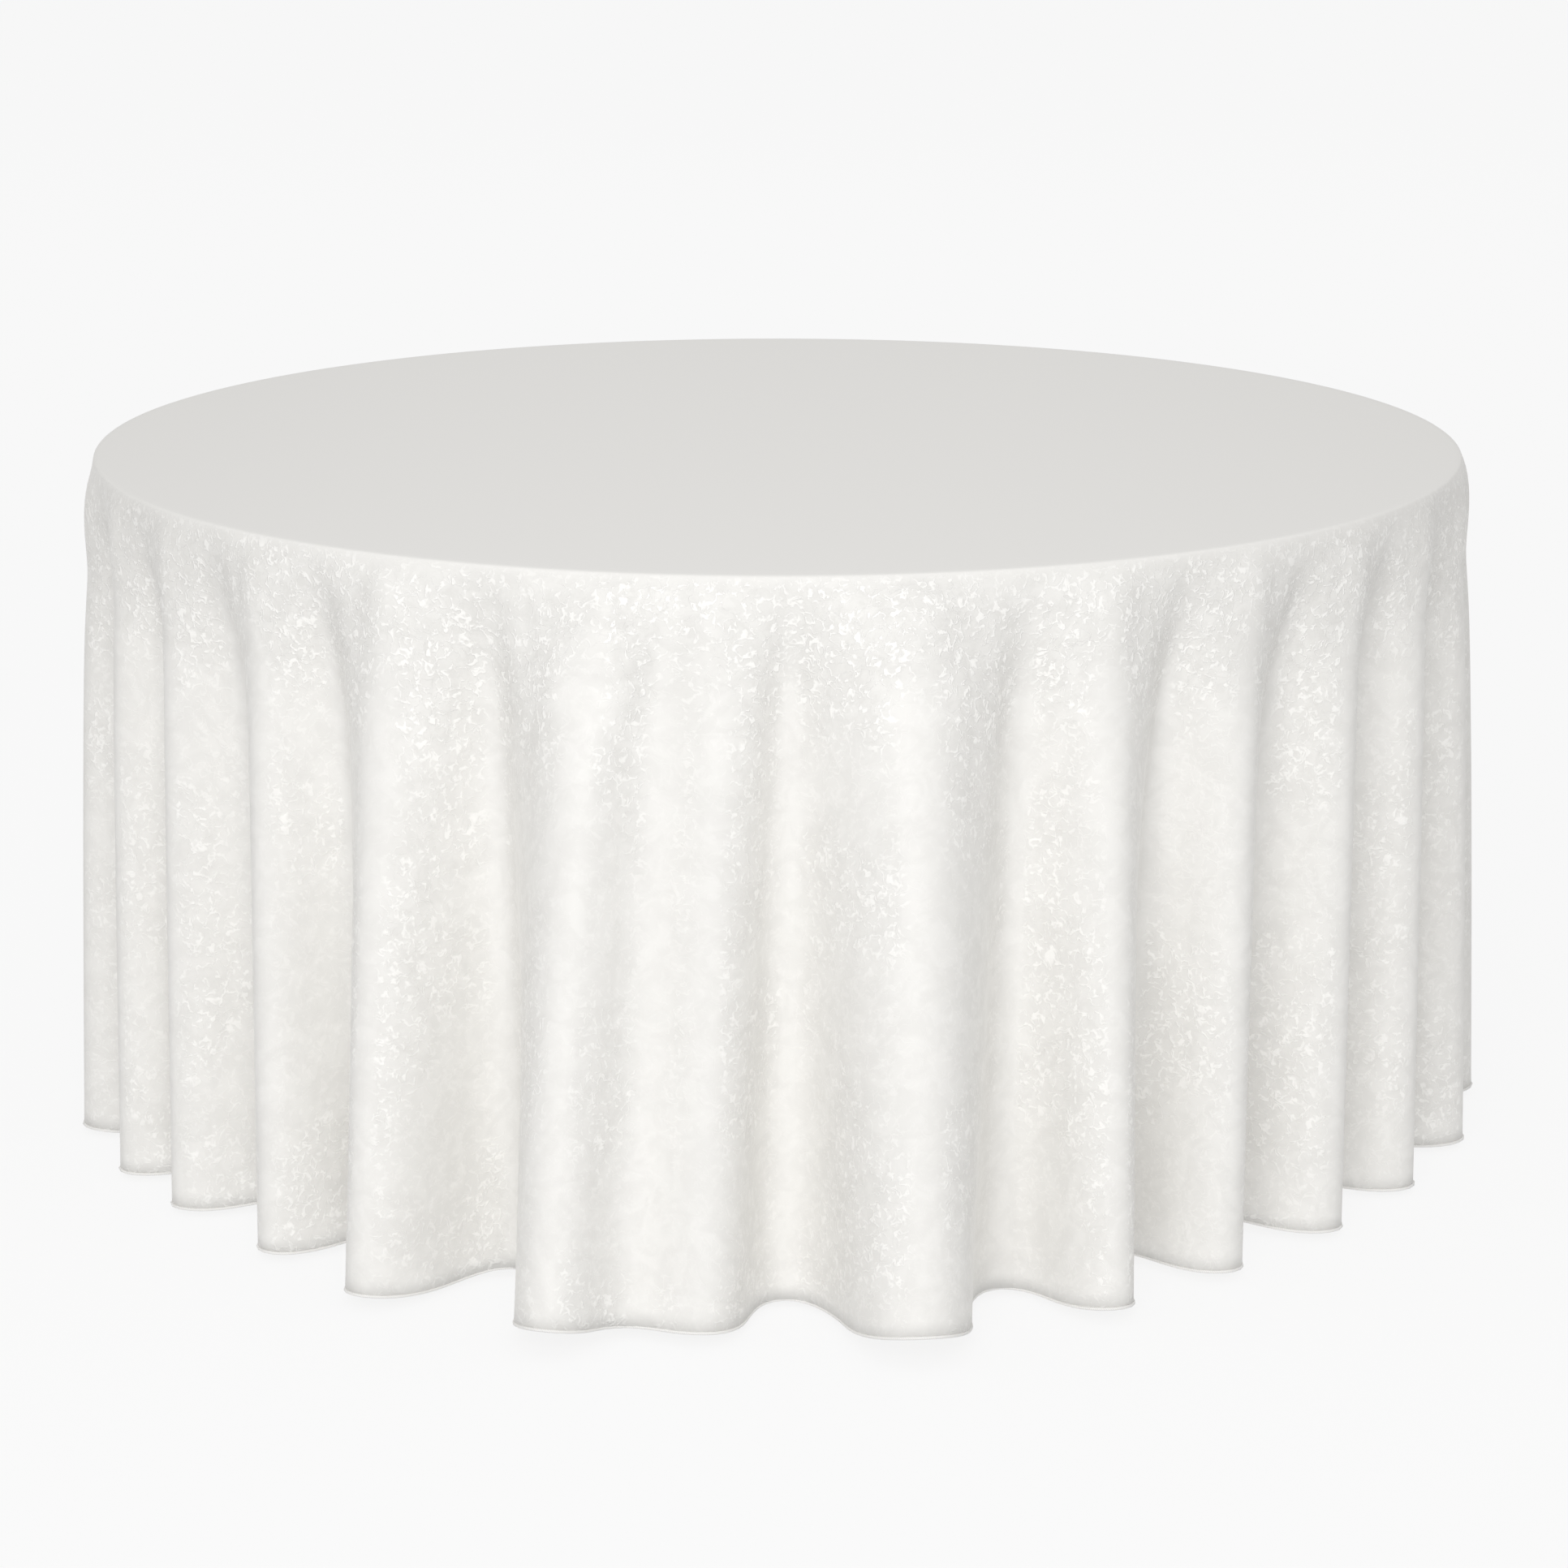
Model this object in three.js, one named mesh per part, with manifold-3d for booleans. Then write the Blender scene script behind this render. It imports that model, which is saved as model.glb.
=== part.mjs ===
// A round folding banquet table, 60 inches across and 30 inches high, with a floor-length
// round tablecloth, 120 inches across, draped over it.
// Millimetres, +Z up. The origin is on the floor under the middle of the table.
// The front is -Y. Leg set A hinges at +X and leg set B at -X, and both fold inwards.
import * as THREE from "three";
import { mergeVertices } from "three/addons/utils/BufferGeometryUtils.js";
import Module from "manifold-3d";

const wasm = await Module();
wasm.setup();

// ---- Driving dimensions -------------------------------------------------------------------

const TABLE_DIAMETER = 1524;
const TABLE_HEIGHT = 762;
const CLEARANCE = 0.3; // between pieces that seat on or in each other

// Top
const PANEL_THICKNESS = 18;
const BAND_THICKNESS = 3;
const BAND_ROUNDING = 2.8;
const RAIL_WIDTH = 56;
const RAIL_EDGE_MARGIN = 25; // from a rail's corner to the edge band

// Leg sets
const HINGE_X = 430;
const POST_Y = 330;
const TUBE_RADIUS = 12.7;
const TUBE_WALL = 1.6;
const CROSSBAR_RADIUS = 11;
const CROSSBAR_DROP = 260; // from the hinge axis down to the crossbar
const SPACER_HEIGHT = 40; // lets leg set B fold under leg set A
const CAP_WALL = 2.5;
const CAP_FLOOR = 5;
const CAP_HEIGHT = 30;

// Pivot straps and screws
const STRAP_THICKNESS = 2.5;
const STRAP_WIDTH = 30;
const STRAP_FLANGE = 20;
const SCREW_RADIUS = 2;
const SCREW_HEAD_RADIUS = 4.5;
const SCREW_HEAD_HEIGHT = 2.4;
const SCREW_BITE = 14; // into the last piece that the screw holds in

// Folding braces
const LINK_HEIGHT = 16;
const LINK_THICKNESS = 5;
const LINK_SPACING = 8; // between the facing sides of the two links
const UPPER_PIN_X = 100;
const BRACE_HEADROOM = 2.1; // between a folded link and its bracket's base
const PIN_RADIUS = 4;
const PIN_HEAD_RADIUS = 6.5;
const PIN_HEAD_HEIGHT = 1.8;
const EAR_THICKNESS = 3;
const EAR_RADIUS = 10;
const SADDLE_THICKNESS = 2; // of the lug's saddle around the crossbar
const BRACKET_LENGTH = 64;
const BRACKET_HALF_WIDTH = 18;
const BRACKET_SCREW_MARGIN = 8; // from the bracket's ends
const BRACKET_SCREW_OFFSET = 12; // to either side of the link, which folds up between the screws
const STOP_TAB_START = 14; // past the knee, along the upper link
const STOP_TAB_LENGTH = 16;
const STOP_TAB_THICKNESS = 3;

// Cloth
const CLOTH_THICKNESS = 1.2;
const CLOTH_GAP = 0.5; // between the cloth and the table
const HEM_CLEARANCE = 5; // above the floor, where the cloth hangs straight
// Each fold's ridge: its direction in degrees from the front towards +X, and how far it stands
// past the table's edge at the hem. The valleys lie midway between the ridges and stay on the
// table's edge, so that the stiff cloth lifts off.
const FOLDS = [
  [9, 168], [24, 98], [36, 48], [48, 28], [61, 16], [75, 24], [90, 34], [105, 38], [119, 28],
  [132, 38], [145, 68], [158, 118], [172, 163], [187, 138], [201, 98], [214, 58], [227, 38],
  [240, 28], [254, 38], [268, 30], [281, 24], [294, 16], [304, 24], [318, 38], [330, 98],
  [346, 158], [355, 88],
];
const STEPS_PER_HALF_FOLD = 3;

// ---- Sizes that follow --------------------------------------------------------------------

const TABLE_RADIUS = TABLE_DIAMETER / 2;
const CLOTH_DIAMETER = TABLE_DIAMETER + 2 * (TABLE_HEIGHT - HEM_CLEARANCE);
const PANEL_RADIUS = TABLE_RADIUS - BAND_THICKNESS - CLEARANCE;
const PANEL_UNDERSIDE = TABLE_HEIGHT - PANEL_THICKNESS;
// The posts fold up beside the rails.
const RAIL_Y = POST_Y - TUBE_RADIUS - RAIL_WIDTH / 2 - 4;
const RAIL_HALF_LENGTH = Math.sqrt(
  (TABLE_RADIUS - BAND_THICKNESS - RAIL_EDGE_MARGIN) ** 2 - (RAIL_Y + RAIL_WIDTH / 2) ** 2,
);
const STRAP_INNER_RADIUS = TUBE_RADIUS + CLEARANCE;
const STRAP_OUTER_RADIUS = STRAP_INNER_RADIUS + STRAP_THICKNESS;
const SCREW_X = STRAP_OUTER_RADIUS + STRAP_FLANGE / 2;
const SADDLE_RADIUS = CROSSBAR_RADIUS + CLEARANCE + SADDLE_THICKNESS;
// The links lie above the crossbar when the legs are folded, so the lug holds them inboard of it.
const LUG_OFFSET = SADDLE_RADIUS + LINK_HEIGHT / 2 + 2 * CLEARANCE;
const LINK_Y = (LINK_SPACING + LINK_THICKNESS) / 2;
// The rails hold the hinges low enough for the folded links to lie under their brackets.
const RAIL_HEIGHT =
  EAR_THICKNESS + BRACE_HEADROOM + LINK_HEIGHT / 2 + LUG_OFFSET - STRAP_INNER_RADIUS;
const RAIL_UNDERSIDE = PANEL_UNDERSIDE - RAIL_HEIGHT;
const ROUND = 20; // sides of a tube

// ---- Helpers ------------------------------------------------------------------------------

const material = (colour, roughness, metalness = 0) =>
  new THREE.MeshStandardMaterial({ color: colour, roughness, metalness });
const PLYWOOD = material(0xb99566, 0.6);
const EDGE_PLASTIC = material(0x2f2b28, 0.55);
const STEEL = material(0x8d9094, 0.4, 0.9);
const ZINC = material(0xb9bcc0, 0.35, 1);
const CAP_PLASTIC = material(0x1c1c1d, 0.5);
const CLOTH = material(0xf1f0ec, 0.55);

const table = new THREE.Group();

function add(name, geometry, finish, parent = table) {
  const mesh = new THREE.Mesh(geometry, finish);
  mesh.name = name;
  parent.add(mesh);
  return mesh;
}

function toSolid(geometry) {
  const bare = geometry.clone();
  bare.deleteAttribute("normal");
  bare.deleteAttribute("uv");
  const merged = mergeVertices(bare, 1e-4);
  return new wasm.Manifold(
    new wasm.Mesh({
      numProp: 3,
      vertProperties: merged.attributes.position.array,
      triVerts: new Uint32Array(merged.index.array),
    }),
  );
}

function toGeometry(solid) {
  const { vertProperties, triVerts } = solid.getMesh();
  const geometry = new THREE.BufferGeometry();
  geometry.setAttribute("position", new THREE.BufferAttribute(new Float32Array(vertProperties), 3));
  geometry.setIndex(new THREE.BufferAttribute(new Uint32Array(triVerts), 1));
  return geometry;
}

const join = (...geometries) =>
  toGeometry(geometries.map(toSolid).reduce((whole, piece) => whole.add(piece)));

const cut = (geometry, ...tools) =>
  toGeometry(tools.map(toSolid).reduce((whole, tool) => whole.subtract(tool), toSolid(geometry)));

// A solid of revolution about the Y axis from [radius, y] points, which run up the outside.
const turned = (points, sides = ROUND) =>
  new THREE.LatheGeometry(points.map(([r, y]) => new THREE.Vector2(r, y)), sides);

const turnedUpright = (points, sides) => turned(points, sides).rotateX(Math.PI / 2);

const tubeProfile = (from, to, outer, inner) => [
  [inner, from], [outer, from], [outer, to], [inner, to], [inner, from],
];

const rodProfile = (from, to, radius) => [[0, from], [radius, from], [radius, to], [0, to]];

const uprightHole = (x, y, from, to, radius) =>
  turnedUpright(rodProfile(from, to, radius), 8).translate(x, y, 0);

const crossHole = (x, z, radius) =>
  turned(rodProfile(-POST_Y, POST_Y, radius), 12).translate(x, 0, z);

const box = (lowX, highX, lowY, highY, lowZ, highZ) =>
  new THREE.BoxGeometry(highX - lowX, highY - lowY, highZ - lowZ).translate(
    (lowX + highX) / 2, (lowY + highY) / 2, (lowZ + highZ) / 2,
  );

// A shape drawn in X and Z, made solid between two Y values.
function plate(shape, lowY, highY) {
  const geometry = new THREE.ExtrudeGeometry(shape, {
    depth: highY - lowY, bevelEnabled: false, curveSegments: 6,
  });
  return geometry.rotateX(Math.PI / 2).translate(0, highY, 0);
}

// ---- Screws -------------------------------------------------------------------------------

// A round-head screw driven upwards, with its head under the given level.
const screw = (x, y, headLevel, tipLevel) =>
  turnedUpright([
    [0, headLevel - SCREW_HEAD_HEIGHT - CLEARANCE],
    [SCREW_HEAD_RADIUS, headLevel - SCREW_HEAD_HEIGHT / 2 - CLEARANCE],
    [SCREW_HEAD_RADIUS, headLevel - CLEARANCE],
    [SCREW_RADIUS, headLevel - CLEARANCE],
    [SCREW_RADIUS, tipLevel - SCREW_RADIUS],
    [0, tipLevel],
  ], 8).translate(x, y, 0);

const screwHole = (x, y, from, to) =>
  uprightHole(x, y, from - 1, to + CLEARANCE, SCREW_RADIUS + CLEARANCE);

// ---- Top ----------------------------------------------------------------------------------

const bandProfile = () => {
  const corner = (turn) => [
    TABLE_RADIUS - BAND_ROUNDING * (1 - Math.cos(turn)),
    TABLE_HEIGHT - BAND_ROUNDING * (1 - Math.sin(turn)),
  ];
  const inner = TABLE_RADIUS - BAND_THICKNESS;
  return [
    [inner, PANEL_UNDERSIDE], [TABLE_RADIUS, PANEL_UNDERSIDE],
    corner(0), corner(Math.PI / 4), corner(Math.PI / 2),
    [inner, TABLE_HEIGHT], [inner, PANEL_UNDERSIDE],
  ];
};

// Each leg set's turn about the table's middle, and the height of the spacers above its straps.
const LEG_SETS = { a: { turn: 0, spacer: 0 }, b: { turn: Math.PI, spacer: SPACER_HEIGHT } };

const inTurn = (turn, x, y) => [Math.cos(turn) * x - Math.sin(turn) * y,
  Math.sin(turn) * x + Math.cos(turn) * y];

function bracketScrewPlaces(turn) {
  const reach = BRACKET_LENGTH / 2 - BRACKET_SCREW_MARGIN;
  return [-1, 1].map((side) =>
    inTurn(turn, UPPER_PIN_X + side * reach, LINK_Y + side * BRACKET_SCREW_OFFSET));
}

function strapScrewPlaces(turn) {
  return [-RAIL_Y, RAIL_Y].flatMap((y) =>
    [-SCREW_X, SCREW_X].map((along) => inTurn(turn, HINGE_X + along, y)));
}

const panelHoles = Object.values(LEG_SETS).flatMap(({ turn }) =>
  bracketScrewPlaces(turn).map(([x, y]) =>
    screwHole(x, y, PANEL_UNDERSIDE, PANEL_UNDERSIDE + SCREW_BITE)));
const panel = turnedUpright(rodProfile(PANEL_UNDERSIDE, TABLE_HEIGHT, PANEL_RADIUS), 96);
add("top_panel", cut(panel, ...panelHoles), PLYWOOD);
add("edge_band", turnedUpright(bandProfile(), 96), EDGE_PLASTIC);

for (const [name, side] of [["rail_front", -1], ["rail_back", 1]]) {
  const rail = box(-RAIL_HALF_LENGTH, RAIL_HALF_LENGTH, side * RAIL_Y - RAIL_WIDTH / 2,
    side * RAIL_Y + RAIL_WIDTH / 2, RAIL_UNDERSIDE, PANEL_UNDERSIDE);
  const holes = Object.values(LEG_SETS).flatMap(({ turn }) =>
    strapScrewPlaces(turn).filter(([, y]) => y * side > 0).map(([x, y]) =>
      screwHole(x, y, RAIL_UNDERSIDE, RAIL_UNDERSIDE + SCREW_BITE)));
  add(name, cut(rail, ...holes), PLYWOOD);
}

// ---- One leg set, with its hinge at +X ----------------------------------------------------

// A pressed strap that holds the pivot tube up against what is above it.
function strap(hingeZ, y) {
  const top = hingeZ + STRAP_INNER_RADIUS;
  const reach = STRAP_OUTER_RADIUS + STRAP_FLANGE;
  const shape = new THREE.Shape();
  shape.moveTo(-reach, top);
  shape.lineTo(-reach, top - STRAP_THICKNESS);
  shape.lineTo(-STRAP_OUTER_RADIUS, top - STRAP_THICKNESS);
  shape.absarc(0, hingeZ, STRAP_OUTER_RADIUS, Math.PI, 2 * Math.PI, false);
  shape.lineTo(STRAP_OUTER_RADIUS, top - STRAP_THICKNESS);
  shape.lineTo(reach, top - STRAP_THICKNESS);
  shape.lineTo(reach, top);
  shape.lineTo(STRAP_INNER_RADIUS, top);
  shape.absarc(0, hingeZ, STRAP_INNER_RADIUS, 2 * Math.PI, Math.PI, true);
  shape.lineTo(-STRAP_INNER_RADIUS, top);
  const body = plate(shape, y - STRAP_WIDTH / 2, y + STRAP_WIDTH / 2).translate(HINGE_X, 0, 0);
  const holes = [-SCREW_X, SCREW_X].map((along) =>
    screwHole(HINGE_X + along, y, top - STRAP_THICKNESS, top));
  return cut(body, ...holes);
}

// An ear around a pin, reaching up or down to a straight base line.
function ear(pinX, pinZ, baseX, baseZ, halfBase, lowY, highY, sideways) {
  const arc = [];
  for (let k = 0; k <= 8; k += 1) {
    const turn = (Math.PI * k) / 8;
    arc.push([Math.cos(turn) * EAR_RADIUS, -Math.sin(turn) * EAR_RADIUS]);
  }
  const outline = sideways
    ? [[baseX, baseZ + halfBase], [baseX, baseZ - halfBase],
      ...arc.map(([u, v]) => [pinX + v, pinZ - u])]
    : [[baseX - halfBase, baseZ], [baseX + halfBase, baseZ],
      ...arc.map(([u, v]) => [pinX + u, pinZ + v])];
  const shape = new THREE.Shape(outline.map(([x, z]) => new THREE.Vector2(x, z)));
  return cut(plate(shape, lowY, highY), crossHole(pinX, pinZ, PIN_RADIUS + CLEARANCE));
}

// The two Y ranges of a clevis's ears around a link that lies on one side of the middle.
function earRanges(side) {
  const near = LINK_SPACING / 2 - CLEARANCE;
  const far = LINK_SPACING / 2 + LINK_THICKNESS + CLEARANCE;
  const ranges = [[near - EAR_THICKNESS, near], [far, far + EAR_THICKNESS]];
  return side > 0 ? ranges : ranges.map(([low, high]) => [-high, -low]);
}

// A pin through a clevis, with a head at each end.
function clevisPin(x, z, side) {
  const [[nearLow], [, farHigh]] = side > 0 ? earRanges(1) : [...earRanges(-1)].reverse();
  const low = nearLow - CLEARANCE;
  const high = farHigh + CLEARANCE;
  return turned([
    [0, low - PIN_HEAD_HEIGHT], [PIN_HEAD_RADIUS, low - PIN_HEAD_HEIGHT],
    [PIN_HEAD_RADIUS, low], [PIN_RADIUS, low], [PIN_RADIUS, high], [PIN_HEAD_RADIUS, high],
    [PIN_HEAD_RADIUS, high + PIN_HEAD_HEIGHT], [0, high + PIN_HEAD_HEIGHT],
  ], 12).translate(x, 0, z);
}

// A flat bar along +X from a pin at the origin, with a round end and a hole at each pin.
function bar(length, side) {
  const half = LINK_HEIGHT / 2;
  const shape = new THREE.Shape();
  shape.absarc(0, 0, half, Math.PI / 2, (3 * Math.PI) / 2, false);
  shape.absarc(length, 0, half, (3 * Math.PI) / 2, (5 * Math.PI) / 2, false);
  const low = LINK_SPACING / 2;
  const high = low + LINK_THICKNESS;
  const body = side > 0 ? plate(shape, low, high) : plate(shape, -high, -low);
  return cut(body, crossHole(0, 0, PIN_RADIUS + CLEARANCE),
    crossHole(length, 0, PIN_RADIUS + CLEARANCE));
}

// The tab that stops the knee from dropping: it reaches over the lower link's top edge.
function stopTab(knee) {
  const from = knee + STOP_TAB_START;
  const to = from + STOP_TAB_LENGTH;
  const under = LINK_HEIGHT / 2 + CLEARANCE;
  const top = under + STOP_TAB_THICKNESS;
  const outer = LINK_SPACING / 2 + LINK_THICKNESS;
  const upstand = box(knee, to, LINK_SPACING / 2, outer, -LINK_HEIGHT / 4, top);
  return join(upstand, box(from, to, -outer, outer, under, top));
}

// The rivet's two halves meet between the links, where the folding linkage is open.
function kneeRivet() {
  const outer = LINK_SPACING / 2 + LINK_THICKNESS + CLEARANCE;
  const collar = LINK_SPACING / 2 - CLEARANCE;
  return turned([
    [0, -outer - PIN_HEAD_HEIGHT], [PIN_HEAD_RADIUS, -outer - PIN_HEAD_HEIGHT],
    [PIN_HEAD_RADIUS, -outer], [PIN_RADIUS, -outer], [PIN_RADIUS, -collar],
    [PIN_HEAD_RADIUS, -collar], [PIN_HEAD_RADIUS, collar], [0, collar],
  ], 12);
}

function kneeCap() {
  const outer = LINK_SPACING / 2 + LINK_THICKNESS + CLEARANCE;
  return turned([
    [0, LINK_SPACING / 2], [PIN_RADIUS, LINK_SPACING / 2], [PIN_RADIUS, outer],
    [PIN_HEAD_RADIUS, outer], [PIN_HEAD_RADIUS, outer + PIN_HEAD_HEIGHT],
    [0, outer + PIN_HEAD_HEIGHT],
  ], 12);
}

function legSet(tag, { turn, spacer }) {
  const set = new THREE.Group();
  set.rotation.z = turn;
  table.add(set);
  const strapTop = RAIL_UNDERSIDE - spacer;
  const hingeZ = strapTop - STRAP_INNER_RADIUS;
  const crossbarZ = hingeZ - CROSSBAR_DROP;

  // Straps, their spacers and screws, under the rails
  const screwTop = RAIL_UNDERSIDE + SCREW_BITE;
  [["front", -1], ["back", 1]].forEach(([where, side]) => {
    const y = side * RAIL_Y;
    add(`pivot_strap_${tag}_${where}`, strap(hingeZ, y), ZINC, set);
    if (spacer > 0) {
      const reach = STRAP_OUTER_RADIUS + STRAP_FLANGE + 6;
      const block = box(HINGE_X - reach, HINGE_X + reach, y - RAIL_WIDTH / 2, y + RAIL_WIDTH / 2,
        strapTop, RAIL_UNDERSIDE);
      const holes = [-SCREW_X, SCREW_X].map((along) =>
        screwHole(HINGE_X + along, y, strapTop, RAIL_UNDERSIDE));
      add(`spacer_block_${tag}_${where}`, cut(block, ...holes), PLYWOOD, set);
    }
    [-SCREW_X, SCREW_X].forEach((along, k) =>
      add(`strap_screw_${tag}_${where}_${k + 1}`,
        screw(HINGE_X + along, y, strapTop - STRAP_THICKNESS, screwTop), ZINC, set));
  });

  // Pivot tube, posts, crossbar and caps
  const tubeEnd = POST_Y + TUBE_RADIUS + 4;
  const inner = TUBE_RADIUS - TUBE_WALL;
  add(`pivot_tube_${tag}`,
    turned(tubeProfile(-tubeEnd, tubeEnd, TUBE_RADIUS, inner)).translate(HINGE_X, 0, hingeZ),
    STEEL, set);
  const cope = turned(rodProfile(-tubeEnd, tubeEnd, TUBE_RADIUS + CLEARANCE), ROUND)
    .translate(HINGE_X, 0, hingeZ);
  [["front", -1], ["back", 1]].forEach(([where, side]) => {
    const y = side * POST_Y;
    const post = turnedUpright(
      tubeProfile(CAP_FLOOR + CLEARANCE, hingeZ, TUBE_RADIUS, inner)).translate(HINGE_X, y, 0);
    add(`leg_post_${tag}_${where}`, cut(post, cope), STEEL, set);
    const capInner = TUBE_RADIUS + CLEARANCE;
    const cap = turnedUpright([
      [0, 0], [capInner + CAP_WALL, 0], [capInner + CAP_WALL, CAP_HEIGHT],
      [capInner, CAP_HEIGHT], [capInner, CAP_FLOOR], [0, CAP_FLOOR],
    ]).translate(HINGE_X, y, 0);
    add(`leg_cap_${tag}_${where}`, cap, CAP_PLASTIC, set);
  });
  const crossbar = turned(
    tubeProfile(-POST_Y, POST_Y, CROSSBAR_RADIUS, CROSSBAR_RADIUS - TUBE_WALL))
    .translate(HINGE_X, 0, crossbarZ);
  const postCopes = [-1, 1].map((side) =>
    turnedUpright(rodProfile(0, TABLE_HEIGHT, TUBE_RADIUS + CLEARANCE))
      .translate(HINGE_X, side * POST_Y, 0));
  add(`crossbar_${tag}`, cut(crossbar, ...postCopes), STEEL, set);

  // Brace: lug on the crossbar, bracket under the panel, and the two links
  const lugX = HINGE_X - LUG_OFFSET;
  const pinZ = hingeZ + LUG_OFFSET;
  const lugEars = earRanges(-1).map(([low, high]) =>
    ear(lugX, crossbarZ, HINGE_X, crossbarZ, EAR_RADIUS, low, high, true));
  const lugLow = earRanges(-1)[1][0];
  const lugHigh = earRanges(-1)[0][1];
  const saddle = turned(rodProfile(lugLow, lugHigh, SADDLE_RADIUS))
    .translate(HINGE_X, 0, crossbarZ);
  const saddleCut = turned(rodProfile(-POST_Y, POST_Y, CROSSBAR_RADIUS + CLEARANCE))
    .translate(HINGE_X, 0, crossbarZ);
  const outboard = box(HINGE_X, HINGE_X + 2 * SADDLE_RADIUS, lugLow - 1, lugHigh + 1,
    crossbarZ - 2 * SADDLE_RADIUS, crossbarZ + 2 * SADDLE_RADIUS);
  add(`brace_lug_${tag}`, cut(join(saddle, ...lugEars), saddleCut, outboard), STEEL, set);
  add(`lug_pin_${tag}`, clevisPin(lugX, crossbarZ, -1), ZINC, set);

  const bracketEars = earRanges(1).map(([low, high]) =>
    ear(UPPER_PIN_X, pinZ, UPPER_PIN_X, PANEL_UNDERSIDE - EAR_THICKNESS / 2, EAR_RADIUS,
      low, high, false));
  const base = box(UPPER_PIN_X - BRACKET_LENGTH / 2, UPPER_PIN_X + BRACKET_LENGTH / 2,
    LINK_Y - BRACKET_HALF_WIDTH, LINK_Y + BRACKET_HALF_WIDTH,
    PANEL_UNDERSIDE - EAR_THICKNESS, PANEL_UNDERSIDE);
  const baseHoles = bracketScrewPlaces(0).map(([x, y]) =>
    screwHole(x, y, PANEL_UNDERSIDE - EAR_THICKNESS, PANEL_UNDERSIDE));
  add(`brace_bracket_${tag}`, cut(join(base, ...bracketEars), ...baseHoles), ZINC, set);
  add(`bracket_pin_${tag}`, clevisPin(UPPER_PIN_X, pinZ, 1), ZINC, set);
  bracketScrewPlaces(0).forEach(([x, y], k) =>
    add(`bracket_screw_${tag}_${k + 1}`,
      screw(x, y, PANEL_UNDERSIDE - EAR_THICKNESS, PANEL_UNDERSIDE + SCREW_BITE), ZINC, set));

  // Straight when the legs stand, and flat on each other when they are folded by 90 degrees.
  const openSpan = Math.hypot(lugX - UPPER_PIN_X, pinZ - crossbarZ);
  const foldedSpan = HINGE_X - CROSSBAR_DROP - UPPER_PIN_X;
  const upperLength = (openSpan + foldedSpan) / 2;
  const lowerLength = (openSpan - foldedSpan) / 2;
  const slope = Math.atan2(pinZ - crossbarZ, lugX - UPPER_PIN_X);
  const brace = new THREE.Group();
  brace.position.set(UPPER_PIN_X, 0, pinZ);
  brace.rotation.y = slope;
  set.add(brace);
  add(`upper_link_${tag}`,
    cut(join(bar(upperLength, 1), stopTab(upperLength)),
      crossHole(upperLength, 0, PIN_RADIUS + CLEARANCE)), STEEL, brace);
  add(`lower_link_${tag}`, bar(lowerLength, -1), STEEL, brace).position.x = upperLength;
  add(`knee_rivet_${tag}`, kneeRivet(), ZINC, brace).position.x = upperLength;
  add(`knee_cap_${tag}`, kneeCap(), ZINC, brace).position.x = upperLength;
}

for (const [tag, set] of Object.entries(LEG_SETS)) legSet(tag, set);

// ---- Tablecloth ---------------------------------------------------------------------------

// [direction in radians, reach past the table's edge at the hem] of every column of the skirt:
// half cosines join the ridges and the valleys.
function foldColumns() {
  const columns = [];
  FOLDS.forEach(([ridge, reach], k) => {
    const next = FOLDS[(k + 1) % FOLDS.length];
    const nextRidge = next[0] + (k + 1 === FOLDS.length ? 360 : 0);
    const valley = (ridge + nextRidge) / 2;
    [[ridge, reach, valley, 0], [valley, 0, nextRidge, next[1]]].forEach(
      ([from, start, to, end]) => {
        for (let step = 0; step < STEPS_PER_HALF_FOLD; step += 1) {
          const share = step / STEPS_PER_HALF_FOLD;
          const blend = (1 - Math.cos(Math.PI * share)) / 2;
          columns.push([
            THREE.MathUtils.degToRad(from + (to - from) * share), start + (end - start) * blend,
          ]);
        }
      });
  });
  return columns;
}

const COLUMNS = foldColumns();
const EDGE_RADIUS = TABLE_RADIUS + CLOTH_GAP; // of the cloth's inner face, at the table's edge
const INNER_TOP = TABLE_HEIGHT + CLOTH_GAP;
const INNER_ROUNDING = BAND_ROUNDING + CLOTH_GAP;

const CLOTH_DROP =
  CLOTH_DIAMETER / 2 - (EDGE_RADIUS - INNER_ROUNDING) - (INNER_ROUNDING * Math.PI) / 2;

// One ring of the cloth's inner face, at a share of the way from the table's edge to the hem.
// The folds deepen as the square root of that share.
function skirtRing(share) {
  const past = share * CLOTH_DROP;
  return COLUMNS.map(([direction, reach]) => {
    const outwards = reach * Math.sqrt(share);
    const radius = EDGE_RADIUS + outwards;
    const drop = Math.sqrt(Math.max(0, past ** 2 - outwards ** 2));
    return new THREE.Vector3(radius * Math.sin(direction), -radius * Math.cos(direction),
      INNER_TOP - INNER_ROUNDING - drop);
  });
}

function roundingRing(turn) {
  const radius = EDGE_RADIUS - INNER_ROUNDING * (1 - Math.sin(turn));
  const level = INNER_TOP - INNER_ROUNDING * (1 - Math.cos(turn));
  return COLUMNS.map(([direction]) => new THREE.Vector3(
    radius * Math.sin(direction), -radius * Math.cos(direction), level));
}

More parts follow.
